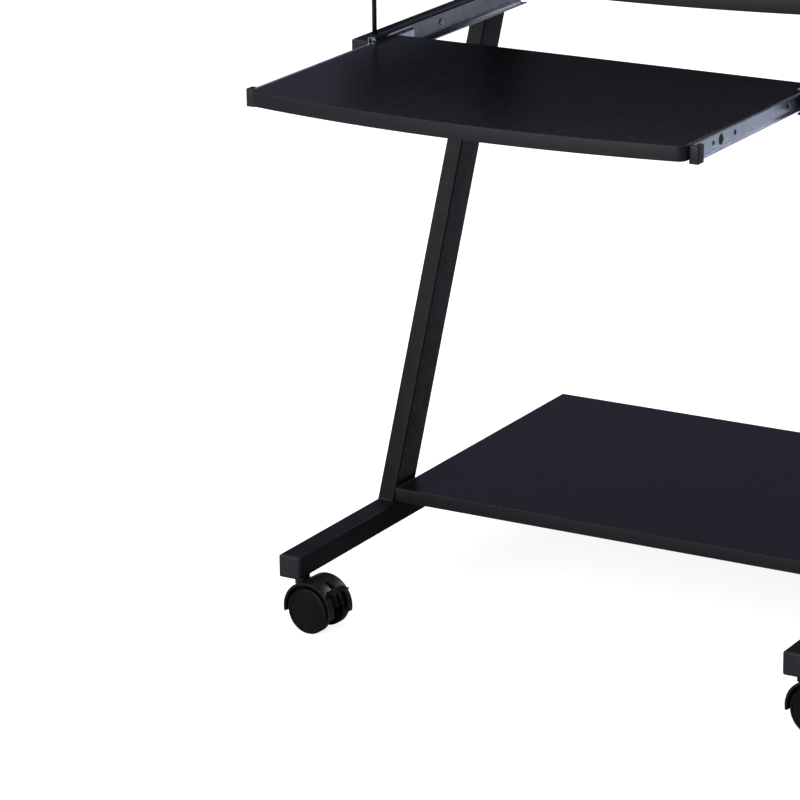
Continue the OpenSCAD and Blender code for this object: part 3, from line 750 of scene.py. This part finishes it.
def pan_screws(node, axis, size):
    """The node's screws with domed heads and cross recesses.

    axis points from the head into the shank. One along X is for the right side, and is turned for the left.
    """
    made = refined(node, 0.45 * MM, 3)
    axis = Vector(axis)
    cutters = []
    for low, high in islands(node):
        centre = (low + high) / 2
        into = -axis if axis.x and centre.x <= 0 else axis
        half = abs((high - low).dot(Vector(map(abs, into)))) / 2
        cutters += cross_cutters(centre - into * half, into, size)
    cut(made, cutters)


def make_screws():
    """Five groups of screws, each with its own size of recess."""
    pan_screws("desktop_screws", (0, 0, 1), 2.1 * MM)
    pan_screws("shelf_screws", (0, 0, 1), 2.1 * MM)
    pan_screws("hanger_screws", (0, 0, 1), 1.8 * MM)
    pan_screws("slide_screws", (1, 0, 0), 2.0 * MM)
    pan_screws("tray_screws", (-1, 0, 0), 1.6 * MM)


# ---------------------------------------------------------------- slides

SHEET = 1.2 * MM
LIP_SHORT = 0.95 * MM
BEND_STEPS = 5
SLIDE_SCREW_R = 1.65 * MM
# Each hole's place, from INNER_SETBACK in front of the member's front end, and its radius, both in mm.
INNER_HOLES = ((50, 2.5), (66.5, 5.2), (96.5, 2.75), (213.5, 2.75), (245, 2.75))
INNER_SETBACK = 5 * MM


def thick_path(points, radii, thickness):
    """A bent strip's outline: the path's corners are rounded, then it is thickened to both sides."""
    path = [Vector(points[0])]
    for before, corner, after, radius in zip(points, points[1:], points[2:], radii):
        corner = Vector(corner)
        a = (Vector(before) - corner).normalized()
        b = (Vector(after) - corner).normalized()
        half = a.angle(b) / 2
        reach = radius / math.tan(half)
        start, end = corner + a * reach, corner + b * reach
        centre = corner + (a + b).normalized() * radius / math.sin(half)
        for i in range(BEND_STEPS + 1):
            t = i / BEND_STEPS
            ray = (start - centre) * (1 - t) + (end - centre) * t
            path.append(centre + ray.normalized() * radius)
    path.append(Vector(points[-1]))
    sides = ([], [])
    for i, point in enumerate(path):
        ahead = (path[min(i + 1, len(path) - 1)] - path[max(i - 1, 0)]).normalized()
        normal = Vector((-ahead.y, ahead.x))
        sides[0].append(point + normal * thickness / 2)
        sides[1].append(point - normal * thickness / 2)
    return sides[0] + sides[1][::-1]


def rail_bar(section, y0, y1):
    """A section in X and Z, run along Y, with its flange tips and ends rounded."""
    bm = bmesh.new()
    add_loft(bm, [[Vector((p.x, y, p.y)) for p in section] for y in (y0, y1)])
    bmesh.ops.recalc_face_normals(bm, faces=bm.faces)
    round_edges(bm, 0.3 * MM, 3, 60)
    return bm


def punch(x, y, z, radius, outward):
    """A cutter for a hole in a web whose middle is at x, with a chamfer on its outward face."""
    reach, chamfer = 3 * MM, 0.45 * MM
    made = bmesh.new()
    add_lathe(made, [(radius, -reach), (radius, SHEET / 2 - chamfer), (radius + chamfer, SHEET / 2),
                     (radius + chamfer, reach)], (x, y, z), (outward, 0, 0), 40)
    return cutter(made)


def channel(node, toward):
    """Where a slide member's section lies: X at its web, tips and lips, Z at its middle, and half its height.

    toward is the way that its flanges point along X, 1 or -1. The web, the lips and the half height are
    taken at the middle of the sheet.
    """
    low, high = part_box(node)
    back, tip = (low.x, high.x) if toward > 0 else (high.x, low.x)
    flange = (high.z - low.z) / 2 - SHEET / 2
    return back + toward * SHEET / 2, tip, tip - toward * SHEET / 2, (low.z + high.z) / 2, flange


def outer_member(side, toward):
    """The member on the rail: flanges with lips turned in over the balls, and its screw holes."""
    node = "slide_outer_" + side
    low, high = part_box(node)
    web, _, lip_x, mid, flange = channel(node, toward)
    lip = flange - SHEET / 2 - LIP_SHORT
    path = [(lip_x, mid - lip), (lip_x, mid - flange), (web, mid - flange),
            (web, mid + flange), (lip_x, mid + flange), (lip_x, mid + lip)]
    section = thick_path(path, [0.7 * MM, 1.5 * MM, 1.5 * MM, 0.7 * MM], SHEET)
    # The outer member takes the darker zinc copy, as painted shade.
    made = piece(node + "_piece", rail_bar(section, low.y, high.y), SHADED_ZINC, "frame", [node])
    cut(made, [punch(web, (b[0].y + b[1].y) / 2, mid, SLIDE_SCREW_R, toward)
               for b in islands("slide_screws") if (b[0].x > 0) == (side == "right")])


def inner_member(side, toward):
    """The member on the tray: a plain channel with its punched holes."""
    node = "slide_inner_" + side
    low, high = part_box(node)
    web, tip, _, mid, flange = channel(node, toward)
    path = [(tip, mid - flange), (web, mid - flange), (web, mid + flange), (tip, mid + flange)]
    section = thick_path(path, [1.3 * MM, 1.3 * MM], SHEET)
    made = piece(node + "_piece", rail_bar(section, low.y, high.y), ZINC, "tray", [node])
    front = low.y - INNER_SETBACK
    cut(made, [punch(web, front + step * MM, mid, r * MM, toward) for step, r in INNER_HOLES])


def make_slides():
    """Both slides: outer member, inner member and ball cage."""
    for side, sign in (("left", -1), ("right", 1)):
        outer_member(side, -sign)
        inner_member(side, sign)
    for node in ("ball_cage_left", "ball_cage_right"):
        refined(node, 0.12 * MM, 1)


def make_bumpers():
    """Moulded stops in the CAD shape, with eased edges."""
    for side in ("left", "right"):
        refined("slide_bumper_" + side, 0.6 * MM, 3)


# ---------------------------------------------------------------- casters

CASTERS = ("front_left", "front_right", "rear_left", "rear_right")
JOINTS = {j["name"]: j for j in frame["joints"]}
WHEEL_R = 25 * MM
BORE_R = 2.6 * MM
HUB_R = 7 * MM
HUB_FACE = 6.3 * MM  # this and the next two are distances from the caster's middle
WHEEL_INNER = 10.5 * MM
WHEEL_OUTER = 22 * MM
TREAD_ROUND = 2 * MM
CENTRE_R = 0.2 * MM


def wheel_profile():
    """Half section of a wheel: radius against distance from the caster's middle."""
    rim = WHEEL_R - 3.0 * MM
    cap = rim - 1.4 * MM
    disc, crown = WHEEL_OUTER - 0.8 * MM, 0.5 * MM
    bore_end = WHEEL_OUTER - 3 * MM
    groove, groove_r = WHEEL_INNER + 3 * MM, WHEEL_R - 4 * MM
    section = [(CENTRE_R, bore_end), (BORE_R, bore_end), (BORE_R, HUB_FACE), (HUB_R - 0.4 * MM, HUB_FACE),
               (HUB_R, HUB_FACE + 0.4 * MM), (HUB_R, groove), (groove_r, groove),
               (groove_r, WHEEL_INNER + 0.5 * MM), (groove_r + 0.5 * MM, WHEEL_INNER)]
    section += arc(WHEEL_R - TREAD_ROUND, WHEEL_INNER + TREAD_ROUND, TREAD_ROUND, -90, 0, 6)
    section += [(WHEEL_R, (WHEEL_INNER + WHEEL_OUTER) / 2)]
    section += arc(WHEEL_R - TREAD_ROUND, WHEEL_OUTER - TREAD_ROUND, TREAD_ROUND, 0, 84, 7)
    section += [(rim, WHEEL_OUTER), (rim - 0.3 * MM, WHEEL_OUTER - 0.1 * MM),
                (rim - 0.45 * MM, disc - 0.4 * MM), (rim - 1.0 * MM, disc - 0.5 * MM),
                (rim - 1.2 * MM, disc - 0.1 * MM), (cap, disc)]
    section += [(share * cap, disc + crown * (1 - share * share))
                for share in (0.97, 0.9, 0.75, 0.55, 0.35, 0.15)]
    section += [(CENTRE_R, disc + crown)]
    return section


def make_wheels():
    """Twin wheels, each turned about its own joint, with its disc on the side away from the other."""
    for caster in CASTERS:
        for which in ("a", "b"):
            node = f"{caster}_wheel_{which}"
            joint = JOINTS[node + "_spin"]
            centre, axis = Vector(joint["pos_m"]), Vector(joint["axis"])
            low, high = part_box(node)
            if ((low + high) / 2 - centre).dot(axis) < 0:
                axis = -axis
            bm = bmesh.new()
            add_lathe(bm, wheel_profile(), centre, axis, 96)
            piece(node + "_piece", bm, WHEEL, node, [node])


def make_casters():
    """Hoods, axles, brake pedals, stems and nuts in the CAD shape with eased edges, and the wheels."""
    for caster in CASTERS:
        refined(caster + "_hood", 0.6 * MM, 3)
        refined(caster + "_axle", 0.3 * MM, 2)
    for caster in CASTERS[:2]:
        refined(caster + "_brake", 0.45 * MM, 3)
    refined("caster_stems", 0.4 * MM, 2)
    refined("caster_nuts", 0.5 * MM, 2)
    make_wheels()


# ---------------------------------------------------------------- stage

FLOOR_HALF = 60.0
FLOOR_CELLS = 6
ROOM_LIGHT, ROOM_STRENGTH = (0.70, 0.72, 1.0, 1), 0.15
# Name, place and target in metres, size in metres, power in watts.
LAMPS = (
    ("top", (-0.3, -0.6, 4.4), (0, 0, 0.3), (4.5, 4.5), 85),
    ("front", (-0.8, -5.0, 1.5), (0, 0, 0.4), (2.4, 1.8), 85),
    ("key", (-3.4, -3.0, 2.6), (0, 0, 0.4), (2.4, 2.0), 45),
    ("fill", (2.6, -3.8, 2.0), (0, 0, 0.4), (2.4, 2.0), 15),
    ("back", (1.6, 3.6, 2.2), (0.6, 1.6, 0), (2.4, 1.6), 24),
    ("rim", (1.2, 5.0, 2.6), (0, 0, 0.6), (2.0, 1.0), 35),
)


def make_camera():
    """The camera, level with the floor but for its roll."""
    azimuth, elevation = math.radians(CAMERA_AZIMUTH), math.radians(CAMERA_ELEVATION)
    ahead = Vector((-math.sin(azimuth) * math.cos(elevation), math.cos(azimuth) * math.cos(elevation),
                    -math.sin(elevation)))
    data = bpy.data.cameras.new("camera")
    data.lens = CAMERA_LENS
    data.sensor_width = SENSOR_WIDTH
    data.clip_start, data.clip_end = CLIP_START, CLIP_END
    camera = bpy.data.objects.new("camera", data)
    bpy.context.scene.collection.objects.link(camera)
    level = ahead.to_track_quat("-Z", "Y").to_matrix()
    camera.matrix_world = Matrix.Translation(CAMERA_PLACE) @ (
        level @ Matrix.Rotation(math.radians(CAMERA_ROLL), 3, "Z")).to_4x4()
    bpy.context.scene.camera = camera


def add_light(name, place, target, size, power):
    """A rectangular area lamp at place, aimed at target."""
    data = bpy.data.lights.new(name, "AREA")
    data.shape = "RECTANGLE"
    data.size, data.size_y = size
    data.energy = power
    lamp = bpy.data.objects.new(name, data)
    bpy.context.scene.collection.objects.link(lamp)
    lamp.location = place
    lamp.rotation_mode = "QUATERNION"
    lamp.rotation_quaternion = (Vector(target) - Vector(place)).to_track_quat("-Z", "Y")


def make_floor():
    """A wide flat floor of square cells."""
    bm = bmesh.new()
    ticks = [FLOOR_HALF * (2 * i / FLOOR_CELLS - 1) for i in range(FLOOR_CELLS + 1)]
    grid = [[bm.verts.new((x, y, 0)) for x in ticks] for y in ticks]
    for near, far in zip(grid, grid[1:]):
        for i in range(FLOOR_CELLS):
            bm.faces.new((near[i], near[i + 1], far[i + 1], far[i]))
    mesh = bpy.data.meshes.new("studio_floor")
    bm.to_mesh(mesh)
    bm.free()
    mesh.materials.append(studio_floor())
    floor = bpy.data.objects.new("studio_floor", mesh)
    bpy.context.scene.collection.objects.link(floor)


def make_world():
    """A dim cool room for the lighting, with a white backdrop where the camera sees past the floor."""
    world = bpy.data.worlds.new("studio")
    bpy.context.scene.world = world
    world.use_nodes = True
    nodes, links = world.node_tree.nodes, world.node_tree.links
    room, backdrop = nodes["Background"], nodes.new("ShaderNodeBackground")
    room.inputs["Color"].default_value = ROOM_LIGHT
    room.inputs["Strength"].default_value = ROOM_STRENGTH
    backdrop.inputs["Strength"].default_value = 1.0
    backdrop.inputs["Color"].default_value = (1.0, 1.0, 1.0, 1)
    chosen = nodes.new("ShaderNodeMixShader")
    links.new(nodes.new("ShaderNodeLightPath").outputs["Is Camera Ray"], chosen.inputs[0])
    links.new(room.outputs[0], chosen.inputs[1])
    links.new(backdrop.outputs[0], chosen.inputs[2])
    links.new(chosen.outputs[0], nodes["World Output"].inputs["Surface"])


def make_stage():
    """Floor, room light and lamps."""
    make_floor()
    make_world()
    for lamp in LAMPS:
        add_light(*lamp)
    bpy.context.scene.view_settings.view_transform = "Standard"


make_camera()
make_stage()
make_boards()
make_frame()
make_rods()
make_screws()
make_slides()
make_bumpers()
make_casters()
